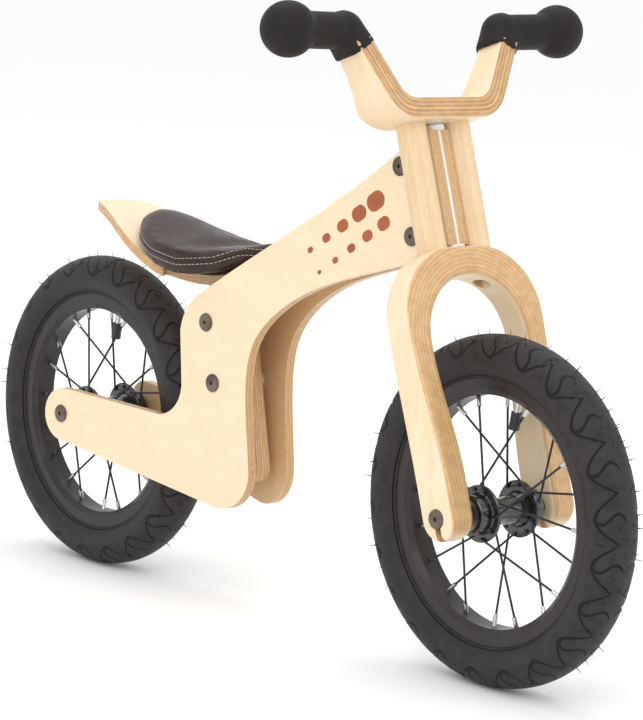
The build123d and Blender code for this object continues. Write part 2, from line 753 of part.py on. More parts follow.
def hub():
    half = hub_half_length
    inner, outer = flange_offset - flange_thickness / 2, flange_offset + flange_thickness / 2
    barrel, waist, boss = hub_barrel_radius, hub_barrel_radius - 1.5, hub_boss_radius
    section = [(axle_radius + 2.0, 0), (waist, 0), (barrel, inner - 7.0), (barrel + 2.5, inner - 1.0),
               (barrel + 3.0, inner), (flange_radius - 1, inner), (flange_radius, inner + 0.8), (flange_radius, outer - 0.8),
               (flange_radius - 1, outer), (boss + 1.0, outer), (boss, outer + 1.5), (boss, half - 1),
               (boss - 1, half), (bearing_radius + fit_gap, half), (bearing_radius + fit_gap, half - bearing_width),
               (axle_radius + 2.0, half - bearing_width)]
    upper = ring_section(section)
    shell = upper + mirror(upper, Plane.XZ)
    for hub_end, _ in all_spokes():
        side = 1 if hub_end.Y > 0 else -1
        low, high = sorted((side * inner - side, side * outer + side))
        shell -= rod((hub_end.X, low, hub_end.Z), (hub_end.X, high, hub_end.Z), spoke_radius + fit_gap)
    return shell


def bearings():
    rings = []
    for side, _ in sides:
        start = Vector(0, side * (hub_half_length - bearing_width), 0)
        end = Vector(0, side * hub_half_length, 0)
        rings.append(pipe(start, end, bearing_radius, axle_radius + fit_gap))
    return group(rings)


valve_end = rim_inner_radius + rim_floor - valve_length
cap_high = valve_end + cap_length - 4.0


def valve():
    return rod(valve_point(valve_end), valve_point(tube_low - fit_gap), valve_radius)


def valve_cap():
    cap = rod(valve_point(cap_high - cap_length), valve_point(cap_high), cap_radius)
    return cap - rod(valve_point(valve_end), valve_point(cap_high + 1), valve_radius + fit_gap)


wheel_parts = {"tyre": tyre(), "inner_tube": inner_tube(), "rim": rim(), "rim_tape": rim_tape(),
               "spokes": spokes(), "nipples": nipples(), "hub": hub(), "bearings": bearings(),
               "valve": valve(), "valve_cap": valve_cap()}
for centre, word in ((front_axle, "front"), (rear_axle, "rear")):
    for part_name, shape in wheel_parts.items():
        save(shape.moved(Location(centre)), f"{word}_{part_name}")


# ---- axles ----
def axle(centre, half):
    bar = rod(centre - across * half, centre + across * half, axle_radius)
    for side, _ in sides:
        end = centre + across * side * half
        bar -= rod(end - across * side * (axle_thread + 2), end + across * side, bolt_shank_radius + fit_gap)
    return bar


def axle_bolts(centre, inner, seat):
    bolts = []
    for side, _ in sides:
        head = socket_head(centre.X, centre.Z, seat, side)
        shank = cross_rod(centre.X, centre.Z, side * (inner - axle_thread), side * seat, bolt_shank_radius)
        bolts.append(head + shank)
    return group(bolts)


def axle_spacers(centre, inner):
    tubes = []
    for side, _ in sides:
        ends = (centre + across * side * (hub_half_length + slide_gap), centre + across * side * inner)
        tubes.append(pipe(*ends, axle_radius + spacer_wall, axle_radius + fit_gap))
    return group(tubes)


rear_half = inner_half(0) - (axle_radius + spacer_wall) * tan(bend_angle)
leg_face = fork_drop_half + fork_thickness + 1.0 - bolt_recess
save(axle(rear_axle, rear_half), "rear_axle")
save(axle_bolts(rear_axle, rear_half, bolt_seat(0)), "rear_axle_bolts")
save(axle_spacers(rear_axle, rear_half), "rear_axle_spacers")
save(axle(front_axle, fork_drop_half), "front_axle")
save(axle_bolts(front_axle, fork_drop_half, leg_face), "front_axle_bolts")
save(axle_spacers(front_axle, fork_drop_half), "front_axle_spacers")


# ---- seat ----
mast_up = Vector(-sin(radians(mast_lean)), 0, cos(radians(mast_lean)))
mast_ahead = Vector(cos(radians(mast_lean)), 0, sin(radians(mast_lean)))
mast_foot = rear_axle + Vector(mast_bolt_x, 0, mast_bolt_z)
mast_rise = (seat_height - mast_bolt_z) * 1.25
seat_x = mast_bolt_x - (seat_height - mast_bolt_z) * tan(radians(mast_lean))
mast_side = Plane(origin=mast_foot, x_dir=mast_ahead, z_dir=(0, -1, 0))


def seat_point(ahead, up):
    return frame_point(seat_x + ahead, seat_height + up)


def base_line(lift):
    # side view of the bent saddle base, tail to nose
    shape = ((1.0, 1.0), (0.7, 0.85), (0.41, 0.34), (0.15, 0.02))
    points = [seat_point(-along * tail_reach, rise * tail_rise + lift) for along, rise in shape]
    points += [seat_point(base_nose * 0.45, base_nose_rise * 0.3 + lift),
               seat_point(base_nose, base_nose_rise + lift)]
    return points


def band(low, high):
    # face between two curves that run the same way
    return make_face([Spline(*low), Line(low[-1], high[-1]), Spline(*reversed(high)), Line(high[0], low[0])])


def base_plan():
    tip = (seat_point(-tail_reach, 0)[0], 0)
    half = [tip, (tip[0] + 7, base_half_width * 0.3), (tip[0] + tail_reach * 0.3, base_half_width * 0.8),
            (tip[0] + tail_reach * 0.55, base_half_width), (tip[0] + tail_reach * 0.76, base_half_width * 0.93),
            (tip[0] + tail_reach * 0.98, base_nose_half_width + 3)]
    end = (seat_point(base_nose + 1, 0)[0], base_nose_half_width)
    side = [Spline(*half, tangents=((0, 1), (1, -0.25))), Line(half[-1], end)]
    return make_face(side + [mirror(wire, Plane.XZ) for wire in side]
                     + [Line(end, (end[0], -end[1]))])


def screw_top(ahead):
    # the point of the base's top that lies over the mast at this distance
    height = tyre_radius + seat_height
    run = (height - mast_foot.Z - mast_ahead.Z * ahead) / mast_up.Z
    return mast_foot + mast_ahead * ahead + mast_up * run


def saddle_screws(room=0.0):
    screws = []
    for sign in (-1, 1):
        top = screw_top(sign * screw_spacing / 2) - mast_up * screw_sink
        head = Solid.make_cone(screw_radius + room, screw_head_radius + room, 2.5,
                               Plane(origin=top - mast_up * 2.5, z_dir=mast_up))
        screws.append(head + rod(top - mast_up * screw_length, top - mast_up * 2.4, screw_radius + room))
        if room:
            screws[-1] += rod(top, top + mast_up * 12, screw_head_radius + room)
    return group(screws)


def saddle_base():
    board = plate(band(base_line(-base_ply), base_line(0)), 2 * base_half_width)
    board &= extrude(base_plan(), 6 * tyre_radius)
    return board.solids().sort_by(SortBy.VOLUME)[-1] - saddle_screws(fit_gap)


def seat_mast():
    half = mast_half_width
    outline = Pos(0, (mast_rise - mast_tail) / 2) * RectangleRounded(2 * half, mast_rise + mast_tail, 14)
    blank = extrude(mast_side * outline, mast_thickness / 2, both=True)
    above = base_line(-base_ply)
    lid = [seat_point(base_nose, 4 * base_ply + tail_rise), seat_point(-tail_reach, 4 * base_ply + tail_rise)]
    cover = make_face([Spline(*above), Line(above[-1], lid[0]), Line(lid[0], lid[1]), Line(lid[1], above[0])])
    blank -= plate(cover, mast_thickness)
    for up in (0, mast_bolt_pitch):
        slot = SlotCenterToCenter(seat_travel, 2 * (nut_barrel_radius + slide_gap), rotation=90)
        blank -= extrude(mast_side * (Pos(0, up - seat_travel / 2) * slot), mast_thickness, both=True)
    return blank.solids().sort_by(SortBy.VOLUME)[-1] - saddle_screws(fit_gap)


def pad_section(along, width, crown, drop):
    # a slice across the pad, shares of its length, half width and rear rise
    x, top = seat_point(along * (pad_rear + pad_front) - pad_rear, pad_height + crown * pad_rear_rise)
    half, side, foot = width * pad_half_width, -drop * pad_rear_rise, -pad_height - 2 * pad_rear_rise
    plane = Plane(origin=(x, 0, top), x_dir=(0, 1, 0), z_dir=(1, 0, 0))
    crest = Spline((-half, side), (0, 0), (half, side), tangents=((0, 1), (0, -1)), tangent_scalars=(0.4, 0.4))
    return plane * make_face([crest, Line((half, side), (half, foot)), Line((half, foot), (-half, foot)),
                              Line((-half, foot), (-half, side))])


def saddle_pad():
    shape = ((0.0, 0.25, 0.7, 0.3), (0.05, 0.45, 0.96, 0.5), (0.15, 0.7, 0.96, 0.7), (0.26, 0.88, 0.69, 0.56),
             (0.46, 1.0, 0.09, 0.15), (0.67, 0.84, 0.05, 0.14), (0.81, 0.49, 0.23, 0.15), (0.94, 0.3, 0.46, 0.15),
             (1.0, 0.16, 0.4, 0.15))
    pad = loft([pad_section(*row) for row in shape])
    under = base_line(pad_gap)
    nose = seat_point(pad_front + 2, pad_height + 0.4 * pad_rear_rise - pad_nose_depth)
    low = [seat_point(pad_front + 2, -tail_rise), seat_point(-tail_reach, -tail_rise)]
    cut = make_face([Spline(*under), Line(under[-1], nose), Line(nose, low[0]), Line(low[0], low[1]),
                     Line(low[1], under[0])])
    pad -= plate(cut, 2 * pad_half_width)
    return pad.solids().sort_by(SortBy.VOLUME)[-1]


save(saddle_base(), "saddle_base")
save(seat_mast(), "seat_mast")
save(saddle_pad(), "saddle_pad")
save(saddle_screws(), "saddle_screws")
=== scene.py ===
import json
import math

import bmesh
import bpy
from mathutils import Matrix, Vector
from mathutils.bvhtree import BVHTree


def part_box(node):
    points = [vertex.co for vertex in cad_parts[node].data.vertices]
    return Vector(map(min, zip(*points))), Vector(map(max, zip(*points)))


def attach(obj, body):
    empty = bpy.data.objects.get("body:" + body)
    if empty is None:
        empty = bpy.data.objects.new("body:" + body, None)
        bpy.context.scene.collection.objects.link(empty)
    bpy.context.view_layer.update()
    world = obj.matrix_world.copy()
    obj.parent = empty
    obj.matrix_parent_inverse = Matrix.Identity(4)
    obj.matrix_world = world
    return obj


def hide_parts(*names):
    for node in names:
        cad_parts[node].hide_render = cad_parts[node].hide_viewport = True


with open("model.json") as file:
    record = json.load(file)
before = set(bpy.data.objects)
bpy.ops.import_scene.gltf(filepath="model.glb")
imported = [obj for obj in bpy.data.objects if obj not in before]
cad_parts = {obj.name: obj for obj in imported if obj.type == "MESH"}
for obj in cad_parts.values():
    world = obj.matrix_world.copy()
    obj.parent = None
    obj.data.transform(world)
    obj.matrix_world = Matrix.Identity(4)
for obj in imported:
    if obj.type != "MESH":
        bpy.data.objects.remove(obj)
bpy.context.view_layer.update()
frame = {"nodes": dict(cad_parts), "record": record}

parts = frame["nodes"]
print("frame loaded", len(parts), "parts")


def middle(name):
    low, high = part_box(name)
    return (Vector(low) + Vector(high)) / 2


frontAxle = middle("front_hub")
rearAxle = middle("rear_hub")
steering = next(joint for joint in frame["record"]["behaviour"]["joints"] if joint["name"] == "steering")
steerUp = Vector(steering["axis"]).normalized()
steerAhead = Vector((steerUp.z, 0, -steerUp.x))


def addNode(tree, kind, values=None, **settings):
    node = tree.nodes.new(kind)
    for key, value in settings.items():
        setattr(node, key, value)
    for key, value in (values or {}).items():
        if isinstance(value, bpy.types.NodeSocket):
            tree.links.new(value, node.inputs[key])
        else:
            node.inputs[key].default_value = value
    return node


def calc(tree, operation, *values):
    node = addNode(tree, "ShaderNodeMath", dict(enumerate(values)), operation=operation)
    return node.outputs[0]


def ramp(tree, value, low, high, outLow=0.0, outHigh=1.0):
    node = addNode(tree, "ShaderNodeMapRange", {"Value": value, "From Min": low, "From Max": high,
                                                "To Min": outLow, "To Max": outHigh},
                   interpolation_type="SMOOTHSTEP")
    return node.outputs[0]


def blendColour(tree, share, first, second):
    node = addNode(tree, "ShaderNodeMix", {0: share, 6: first, 7: second}, data_type="RGBA")
    return node.outputs[2]


def dot(tree, vector, direction):
    node = addNode(tree, "ShaderNodeVectorMath", {0: vector, 1: tuple(direction)}, operation="DOT_PRODUCT")
    return node.outputs["Value"]


def startGroup(name, inputs, outputs):
    tree = bpy.data.node_groups.new(name, "ShaderNodeTree")
    for label, kind in inputs:
        tree.interface.new_socket(label, in_out="INPUT", socket_type=kind)
    for label, kind in outputs:
        tree.interface.new_socket(label, in_out="OUTPUT", socket_type=kind)
    return tree, tree.nodes.new("NodeGroupInput"), tree.nodes.new("NodeGroupOutput")


def fillGroup(tree, group, values):
    node = tree.nodes.new("ShaderNodeGroup")
    node.node_tree = group
    for key, value in values.items():
        if isinstance(value, bpy.types.NodeSocket):
            tree.links.new(value, node.inputs[key])
        else:
            node.inputs[key].default_value = value
    return node


def grainGroup():
    tree, start, end = startGroup("woodGrain",
                                  [("Position", "NodeSocketVector"), ("Stretch", "NodeSocketVector")],
                                  [("Streak", "NodeSocketFloat"), ("Pore", "NodeSocketFloat")])
    place = addNode(tree, "ShaderNodeVectorMath", {0: start.outputs[0], 1: start.outputs[1]},
                    operation="MULTIPLY")
    broad = addNode(tree, "ShaderNodeTexNoise", {"Vector": place.outputs[0], "Scale": 1.0, "Detail": 4.0,
                                                 "Roughness": 0.6, "Distortion": 0.4})
    fine = addNode(tree, "ShaderNodeTexNoise", {"Vector": place.outputs[0], "Scale": 7.0, "Detail": 2.0})
    tree.links.new(ramp(tree, broad.outputs[0], 0.3, 0.7), end.inputs[0])
    tree.links.new(ramp(tree, fine.outputs[0], 0.35, 0.65), end.inputs[1])
    return tree


def plyGroup():
    tree, start, end = startGroup("pressedLayers",
                                  [("Depth", "NodeSocketFloat"), ("Layer", "NodeSocketFloat")],
                                  [("Glue", "NodeSocketFloat"), ("Tone", "NodeSocketFloat")])
    count = calc(tree, "DIVIDE", start.outputs[0], start.outputs[1])
    layer = calc(tree, "FLOOR", count)
    away = calc(tree, "ABSOLUTE", calc(tree, "SUBTRACT", calc(tree, "FRACT", count), 0.5))
    tree.links.new(ramp(tree, away, 0.3, 0.5), end.inputs[0])
    tone = addNode(tree, "ShaderNodeTexWhiteNoise", {"W": layer}, noise_dimensions="1D").outputs["Value"]
    parity = calc(tree, "PINGPONG", layer, 1.0)
    tree.links.new(calc(tree, "ADD", calc(tree, "MULTIPLY", tone, 0.35), calc(tree, "MULTIPLY", parity, 0.6)),
                   end.inputs[1])
    return tree


def speckleGroup():
    tree, start, end = startGroup("fineSpeckle",
                                  [("Position", "NodeSocketVector"), ("Scale", "NodeSocketFloat")],
                                  [("Mask", "NodeSocketFloat"), ("Height", "NodeSocketFloat")])
    cells = addNode(tree, "ShaderNodeTexVoronoi", {"Vector": start.outputs[0], "Scale": start.outputs[1]},
                    feature="SMOOTH_F1")
    cloud = addNode(tree, "ShaderNodeTexNoise", {"Vector": start.outputs[0], "Scale": calc(tree, "MULTIPLY",
                    start.outputs[1], 0.08), "Detail": 3.0})
    tree.links.new(ramp(tree, cloud.outputs[0], 0.35, 0.65), end.inputs[0])
    tree.links.new(cells.outputs["Distance"], end.inputs[1])
    return tree


def barGroup():
    tree, start, end = startGroup("roundedBar",
                                  [("Position", "NodeSocketVector"), ("Centre", "NodeSocketVector"),
                                                 ("Angle", "NodeSocketFloat"), ("Length", "NodeSocketFloat"),
                                                 ("Radius", "NodeSocketFloat")],
                                  [("Mask", "NodeSocketFloat")])
    offset = addNode(tree, "ShaderNodeVectorMath", {0: start.outputs[0], 1: start.outputs[1]},
                     operation="SUBTRACT")
    xyz = addNode(tree, "ShaderNodeSeparateXYZ", {0: offset.outputs[0]}).outputs
    cos, sin = calc(tree, "COSINE", start.outputs[2]), calc(tree, "SINE", start.outputs[2])
    along = calc(tree, "ADD", calc(tree, "MULTIPLY", xyz[0], cos), calc(tree, "MULTIPLY", xyz[2], sin))
    aside = calc(tree, "SUBTRACT", calc(tree, "MULTIPLY", xyz[2], cos), calc(tree, "MULTIPLY", xyz[0], sin))
    past = calc(tree, "MAXIMUM", calc(tree, "SUBTRACT", calc(tree, "ABSOLUTE", along), start.outputs[3]), 0.0)
    reach = calc(tree, "SQRT", calc(tree, "ADD", calc(tree, "MULTIPLY", past, past),
                                    calc(tree, "MULTIPLY", aside, aside)))
    edge = calc(tree, "SUBTRACT", start.outputs[4], reach)
    tree.links.new(ramp(tree, edge, -0.0003, 0.0003), end.inputs[0])
    return tree


woodGrain, pressedLayers, fineSpeckle, roundedBar = grainGroup(), plyGroup(), speckleGroup(), barGroup()


def startMaterial(name):
    material = bpy.data.materials.new(name)
    material.use_nodes = True
    tree = material.node_tree
    shader = tree.nodes["Principled BSDF"]
    place = tree.nodes.new("ShaderNodeTexCoord")
    return material, tree, shader, place.outputs["Object"], place.outputs["Normal"]


def finishMaterial(tree, shader, colour, rough, height=None, strength=0.2, distance=0.0003):
    for key, value in (("Base Color", colour), ("Roughness", rough)):
        if isinstance(value, bpy.types.NodeSocket):
            tree.links.new(value, shader.inputs[key])
        else:
            shader.inputs[key].default_value = value
    if height is not None:
        bump = addNode(tree, "ShaderNodeBump", {"Height": height, "Strength": strength, "Distance": distance})
        tree.links.new(bump.outputs[0], shader.inputs["Normal"])


wood = {
    "paleFace": (0.84, 0.68, 0.47, 1), "warmFace": (0.74, 0.54, 0.31, 1),
    "lightEdge": (0.70, 0.45, 0.21, 1), "darkEdge": (0.36, 0.17, 0.055, 1), "glue": (0.16, 0.07, 0.02, 1),
    "shadedInnerFace": (0.62, 0.37, 0.16, 1), "stain": (0.30, 0.058, 0.007, 1), "panelSlope": 0.10534,
        "panelBend": 0.1375,
    "panelInner": 0.00155, "headInner": 0.0016,
}


def woodMaterial(name, depthOf, edgeOf, stretch, layer, decorate=None, faceWarmth=0.35, edgeTint=1.0):
    material, tree, shader, place, normal = startMaterial(name)
    grain = fillGroup(tree, woodGrain, {"Position": place, "Stretch": stretch})
    streak = calc(tree, "MULTIPLY", grain.outputs["Streak"], faceWarmth)
    face = blendColour(tree, calc(tree, "ADD", streak, calc(tree, "MULTIPLY", grain.outputs["Pore"], 0.12)),
                       wood["paleFace"], wood["warmFace"])
    layers = fillGroup(tree, pressedLayers, {"Depth": depthOf(tree, place), "Layer": layer})
    tone = calc(tree, "ADD", calc(tree, "MULTIPLY", layers.outputs["Tone"], 0.75 * edgeTint),
                calc(tree, "MULTIPLY", grain.outputs["Pore"], 0.2))
    edge = blendColour(tree, tone, wood["lightEdge"], wood["darkEdge"])
    edge = blendColour(tree, calc(tree, "MULTIPLY", layers.outputs["Glue"], 0.35 * edgeTint), edge,
                       wood["glue"])
    mask = edgeOf(tree, normal)
    colour = blendColour(tree, mask, face, edge)
    if decorate:
        colour = decorate(tree, place, mask, colour, grain)
    rough = ramp(tree, grain.outputs["Pore"], 0.0, 1.0, 0.34, 0.46)
    finishMaterial(tree, shader, colour, rough, grain.outputs["Pore"], 0.12, 0.00015)
    shader.inputs["Coat Weight"].default_value = 0.25
    shader.inputs["Coat Roughness"].default_value = 0.25
    return material


def steerPlace(tree, place):
    offset = addNode(tree, "ShaderNodeVectorMath", {0: place, 1: tuple(frontAxle)},
                     operation="SUBTRACT").outputs[0]
    aside = calc(tree, "ABSOLUTE", addNode(tree, "ShaderNodeSeparateXYZ", {0: offset}).outputs[1])
    return aside, dot(tree, offset, steerUp)


def panelDepth(tree, place):
    xyz = addNode(tree, "ShaderNodeSeparateXYZ", {0: place}).outputs
    splay = calc(tree, "MULTIPLY", calc(tree, "SUBTRACT", wood["panelBend"], xyz[0]), wood["panelSlope"])
    inner = calc(tree, "MAXIMUM", calc(tree, "ADD", splay, wood["panelInner"]), wood["headInner"])
    return calc(tree, "SUBTRACT", calc(tree, "ABSOLUTE", xyz[1]), inner)


def panelEdge(tree, normal):
    across = calc(tree, "ABSOLUTE", addNode(tree, "ShaderNodeSeparateXYZ", {0: normal}).outputs[1])
    return ramp(tree, across, 0.55, 0.8, 1.0, 0.0)


dots = {"centre": (0.083, 0, 0.362), "step": (0.0185, 0, 0.0128),
        "radii": (0.0026, 0.0038, 0.0052, 0.0066, 0.0080)}


def panelStainAndShade(tree, place, edge, colour, grain):
    # two plain rows of growing dots, stained into the outer faces, and painted shade on the inner faces
    total = 0.0
    for index, radius in enumerate(dots["radii"]):
        shift = index - (len(dots["radii"]) - 1) / 2
        for row, share in ((0.010, 1.0), (-0.0125, 0.72)):
            centre = [dots["centre"][axis] + dots["step"][axis] * shift for axis in range(3)]
            centre[0], centre[2] = centre[0] - row * 0.57 + radius * (share - 1), centre[2] + row * 0.82
            dotMark = fillGroup(tree, roundedBar, {"Position": place, "Centre": tuple(centre), "Angle": 0.6,
                                                   "Length": radius * 0.35 * share, "Radius": radius * share})
            total = calc(tree, "MAXIMUM", total, dotMark.outputs[0])
    depth = panelDepth(tree, place)
    outside = ramp(tree, depth, 0.006, 0.008)
    # painted shade: the inner faces by the gap between the panels are blended toward a warm brown, standing
    # in for shadow and warm reflected light there
    innerShade = calc(tree, "MULTIPLY", ramp(tree, depth, 0.001, 0.003, 0.75, 0.0),
                  calc(tree, "SUBTRACT", 1.0, edge))
    colour = blendColour(tree, innerShade, colour, wood["shadedInnerFace"])
    share = calc(tree, "MULTIPLY", calc(tree, "MULTIPLY", total, outside), calc(tree, "SUBTRACT", 1.0, edge))
    stain = blendColour(tree, grain.outputs["Streak"], wood["stain"], (0.38, 0.085, 0.012, 1))
    return blendColour(tree, share, colour, stain)


def forkDepth(tree, place):
    # depth below the strip's inner face: an arch over two nearly straight legs
    aside, along = steerPlace(tree, place)
    above = calc(tree, "SUBTRACT", along, fork["archCentre"])
    leg = calc(tree, "MULTIPLY", calc(tree, "MAXIMUM", calc(tree, "MULTIPLY", above, -1.0), 0.0),
               fork["legSlope"])
    wide = calc(tree, "ADD", aside, leg)
    high = calc(tree, "MAXIMUM", above, 0.0)
    radius = calc(tree, "SQRT", calc(tree, "ADD", calc(tree, "MULTIPLY", wide, wide),
                                     calc(tree, "MULTIPLY", high, high)))
    return calc(tree, "SUBTRACT", radius, fork["archRadius"])


def barDepth(tree, place):
    # depth above the strip's outer face, flat in the middle and rising along the arms
    aside, along = steerPlace(tree, place)
    low = calc(tree, "SUBTRACT", along, handlebar["under"])
    cos, sin = math.cos(handlebar["armAngle"]), math.sin(handlebar["armAngle"])
    out = calc(tree, "MULTIPLY", calc(tree, "SUBTRACT", handlebar["corner"], aside), cos)
    up = calc(tree, "MULTIPLY", calc(tree, "SUBTRACT", along, handlebar["under"] + handlebar["thick"] / 2),
              sin)
    arm = calc(tree, "ADD", calc(tree, "ADD", out, up), handlebar["thick"] / 2)
    node = addNode(tree, "ShaderNodeMath", {0: low, 1: arm, 2: handlebar["smooth"]}, operation="SMOOTH_MIN")
    return node.outputs[0]


def stripEdge(tree, normal):
    ahead = calc(tree, "ABSOLUTE", dot(tree, normal, steerAhead))
    return ramp(tree, ahead, 0.45, 0.8)


def boardDepth(tree, place):
    xyz = addNode(tree, "ShaderNodeSeparateXYZ", {0: place}).outputs
    low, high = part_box("saddle_base")
    share = ramp(tree, xyz[0], low[0], high[0])
    share.node.interpolation_type = "LINEAR"
    curve = tree.nodes.new("ShaderNodeFloatCurve")
    tree.links.new(share, curve.inputs["Value"])
    points = board["line"]
    curve.mapping.curves[0].points[0].location = points[0]
    curve.mapping.curves[0].points[1].location = points[-1]
    for point in points[1:-1]:
        curve.mapping.curves[0].points.new(*point)
    curve.mapping.update()
    lift = calc(tree, "ADD", calc(tree, "MULTIPLY", curve.outputs[0], board["rise"]), board["low"])
    return calc(tree, "SUBTRACT", xyz[2], lift)


def boardEdge(tree, normal):
    up = calc(tree, "ABSOLUTE", addNode(tree, "ShaderNodeSeparateXYZ", {0: normal}).outputs[2])
    return ramp(tree, up, 0.45, 0.7, 1.0, 0.0)


def mastDepth(tree, place):
    return calc(tree, "ADD", addNode(tree, "ShaderNodeSeparateXYZ", {0: place}).outputs[1], 0.0075)


def pillarDepth(tree, place):
    aside, along = steerPlace(tree, place)
    return calc(tree, "MULTIPLY", dot(tree, place, steerAhead), 1.0)


def everyEdge(tree, normal):
    return addNode(tree, "ShaderNodeMath", {0: 0.42, 1: 0.0}, operation="ADD").outputs[0]


fork = {"archCentre": 0.1465, "archRadius": 0.0545, "legSlope": 0.0617}
handlebar = {"under": 0.3345, "thick": 0.018, "corner": 0.052, "armAngle": math.radians(29.5), "smooth": 0.02}
board = {"line": ((0.0, 1.0), (0.245, 0.85), (0.49, 0.34), (0.69, 0.02), (0.82, 0.1), (1.0, 0.33)),
         "rise": 0.050, "low": 0.295}

panelWood = woodMaterial("birchPanel", panelDepth, panelEdge, (9, 60, 55), 0.0013, panelStainAndShade, 0.22, 0.8)
forkWood = woodMaterial("bentForkWood", forkDepth, stripEdge, (50, 14, 14), 0.0018, None, 0.45, 0.5)
barWood = woodMaterial("bentBarWood", barDepth, stripEdge, (50, 14, 14), 0.0018, None, 0.45, 1.0)
boardWood = woodMaterial("bentSaddleWood", boardDepth, boardEdge, (12, 60, 20), 0.0013, None, 0.35, 0.9)
mastWood = woodMaterial("mastWood", mastDepth, panelEdge, (60, 60, 12), 0.0015, None, 0.3, 0.9)
pillarWood = woodMaterial("turnedWood", pillarDepth, everyEdge, (110, 150, 16), 0.0032, None, 0.6, 0.5)


def coat(name, material):
    mesh = parts[name].data
    mesh.materials.clear()
    mesh.materials.append(material)


for name, material in (("frame_panel_right", panelWood), ("frame_panel_left", panelWood), ("fork", forkWood),
                       ("handlebar", barWood), ("saddle_base", boardWood), ("seat_mast", mastWood),
                       ("pillar_right", pillarWood), ("pillar_left", pillarWood)):
    coat(name, material)
print("wood finished")


def plainMaterial(name, first, second, rough, scale, metallic=0.0, bump=0.1, coatWeight=0.0,
                  bumpDistance=0.0002,
                  shine=0.5):
    material, tree, shader, place, normal = startMaterial(name)
    speckle = fillGroup(tree, fineSpeckle, {"Position": place, "Scale": scale})
    colour = blendColour(tree, speckle.outputs["Mask"], first, second)
    finish = ramp(tree, speckle.outputs["Mask"], 0.0, 1.0, rough * 0.88, min(1.0, rough * 1.12))
    finishMaterial(tree, shader, colour, finish, speckle.outputs["Height"], bump, bumpDistance)
    shader.inputs["Metallic"].default_value = metallic
    shader.inputs["Specular IOR Level"].default_value = shine
    shader.inputs["Coat Weight"].default_value = coatWeight
    return material


def tyreMaterial():
    # scalloped grooves on the shoulders with wavy cuts up to the crown
    material, tree, shader, place, normal = startMaterial("tyreRubber")
    speckle = fillGroup(tree, fineSpeckle, {"Position": place, "Scale": 1100.0})
    turn = addNode(tree, "ShaderNodeAttribute", attribute_name="turn").outputs["Fac"]
    share = addNode(tree, "ShaderNodeAttribute", attribute_name="share").outputs["Fac"]
    wave = calc(tree, "ABSOLUTE", calc(tree, "SINE", calc(tree, "MULTIPLY", turn, math.pi)))
    arc = calc(tree, "SUBTRACT", 0.80, calc(tree, "MULTIPLY", wave, 0.34))
    scallop = ramp(tree, calc(tree, "ABSOLUTE", calc(tree, "SUBTRACT", share, arc)), 0.014, 0.030, 1.0, 0.0)
    bend = calc(tree, "MULTIPLY", calc(tree, "SINE", calc(tree, "MULTIPLY", share, 14.0)), 0.10)
    cell = calc(tree, "ABSOLUTE",
                calc(tree, "SUBTRACT", calc(tree, "FRACT", calc(tree, "ADD", turn, bend)), 0.5))
    cut = ramp(tree, cell, 0.014, 0.040, 1.0, 0.0)
    cut = calc(tree, "MULTIPLY", cut, ramp(tree, share, 0.45, 0.50))
    cut = calc(tree, "MULTIPLY", cut, ramp(tree, share, 0.90, 0.94, 1.0, 0.0))
    ring = ramp(tree, calc(tree, "ABSOLUTE", calc(tree, "SUBTRACT", share, 0.17)), 0.006, 0.016, 1.0, 0.0)
    grooveAndShade = calc(tree, "MAXIMUM", calc(tree, "MAXIMUM", scallop, cut), ring)
    colour = blendColour(tree, speckle.outputs["Mask"], (0.021, 0.018, 0.018, 1), (0.034, 0.029, 0.029, 1))
    # painted shade: the grooves and the wall ring are painted near black, standing in for shade in the
    # recesses; the same mask also cuts the grooves as bump
    colour = blendColour(tree, grooveAndShade, colour, (0.003, 0.003, 0.003, 1))
    rough = ramp(tree, speckle.outputs["Mask"], 0.0, 1.0, 0.48, 0.60)
    height = calc(tree, "SUBTRACT", calc(tree, "MULTIPLY", speckle.outputs["Height"], 0.03), grooveAndShade)
    finishMaterial(tree, shader, colour, rough, height, 0.9, 0.0018)
    shader.inputs["Specular IOR Level"].default_value = 0.25
    return material


tyreRubber = tyreMaterial()
nibRubber = plainMaterial("nibRubber", (0.03, 0.029, 0.03, 1), (0.05, 0.048, 0.05, 1), 0.55, 900)
softRubber = plainMaterial("softRubber", (0.02, 0.02, 0.02, 1), (0.035, 0.034, 0.034, 1), 0.5, 900)
gripFoam = plainMaterial("gripFoam", (0.012, 0.010, 0.010, 1), (0.020, 0.015, 0.015, 1), 0.6, 1500, 0, 0.5,
                         shine=0.2)
rimMetal = plainMaterial("rimMetal", (0.016, 0.012, 0.011, 1), (0.024, 0.018, 0.017, 1), 0.36, 500, 0.0,
                         0.05, 0.1,
                         shine=0.35)
hubMetal = plainMaterial("hubMetal", (0.010, 0.010, 0.010, 1), (0.018, 0.017, 0.017, 1), 0.22, 500, 0.0,
                         0.04, 0.6)
spokeMetal = plainMaterial("spokeMetal", (0.014, 0.013, 0.013, 1), (0.03, 0.028, 0.028, 1), 0.35, 700, 0.4,
                           0.05)
silver = plainMaterial("silver", (0.60, 0.59, 0.57, 1), (0.48, 0.47, 0.46, 1), 0.28, 900, 1.0, 0.08)
bronze = plainMaterial("darkBronze", (0.17, 0.135, 0.11, 1), (0.10, 0.08, 0.065, 1), 0.36, 800, 0.85, 0.12)
whitePlastic = plainMaterial("whitePlastic", (0.80, 0.79, 0.76, 1), (0.72, 0.71, 0.68, 1), 0.45, 600, 0, 0.05)

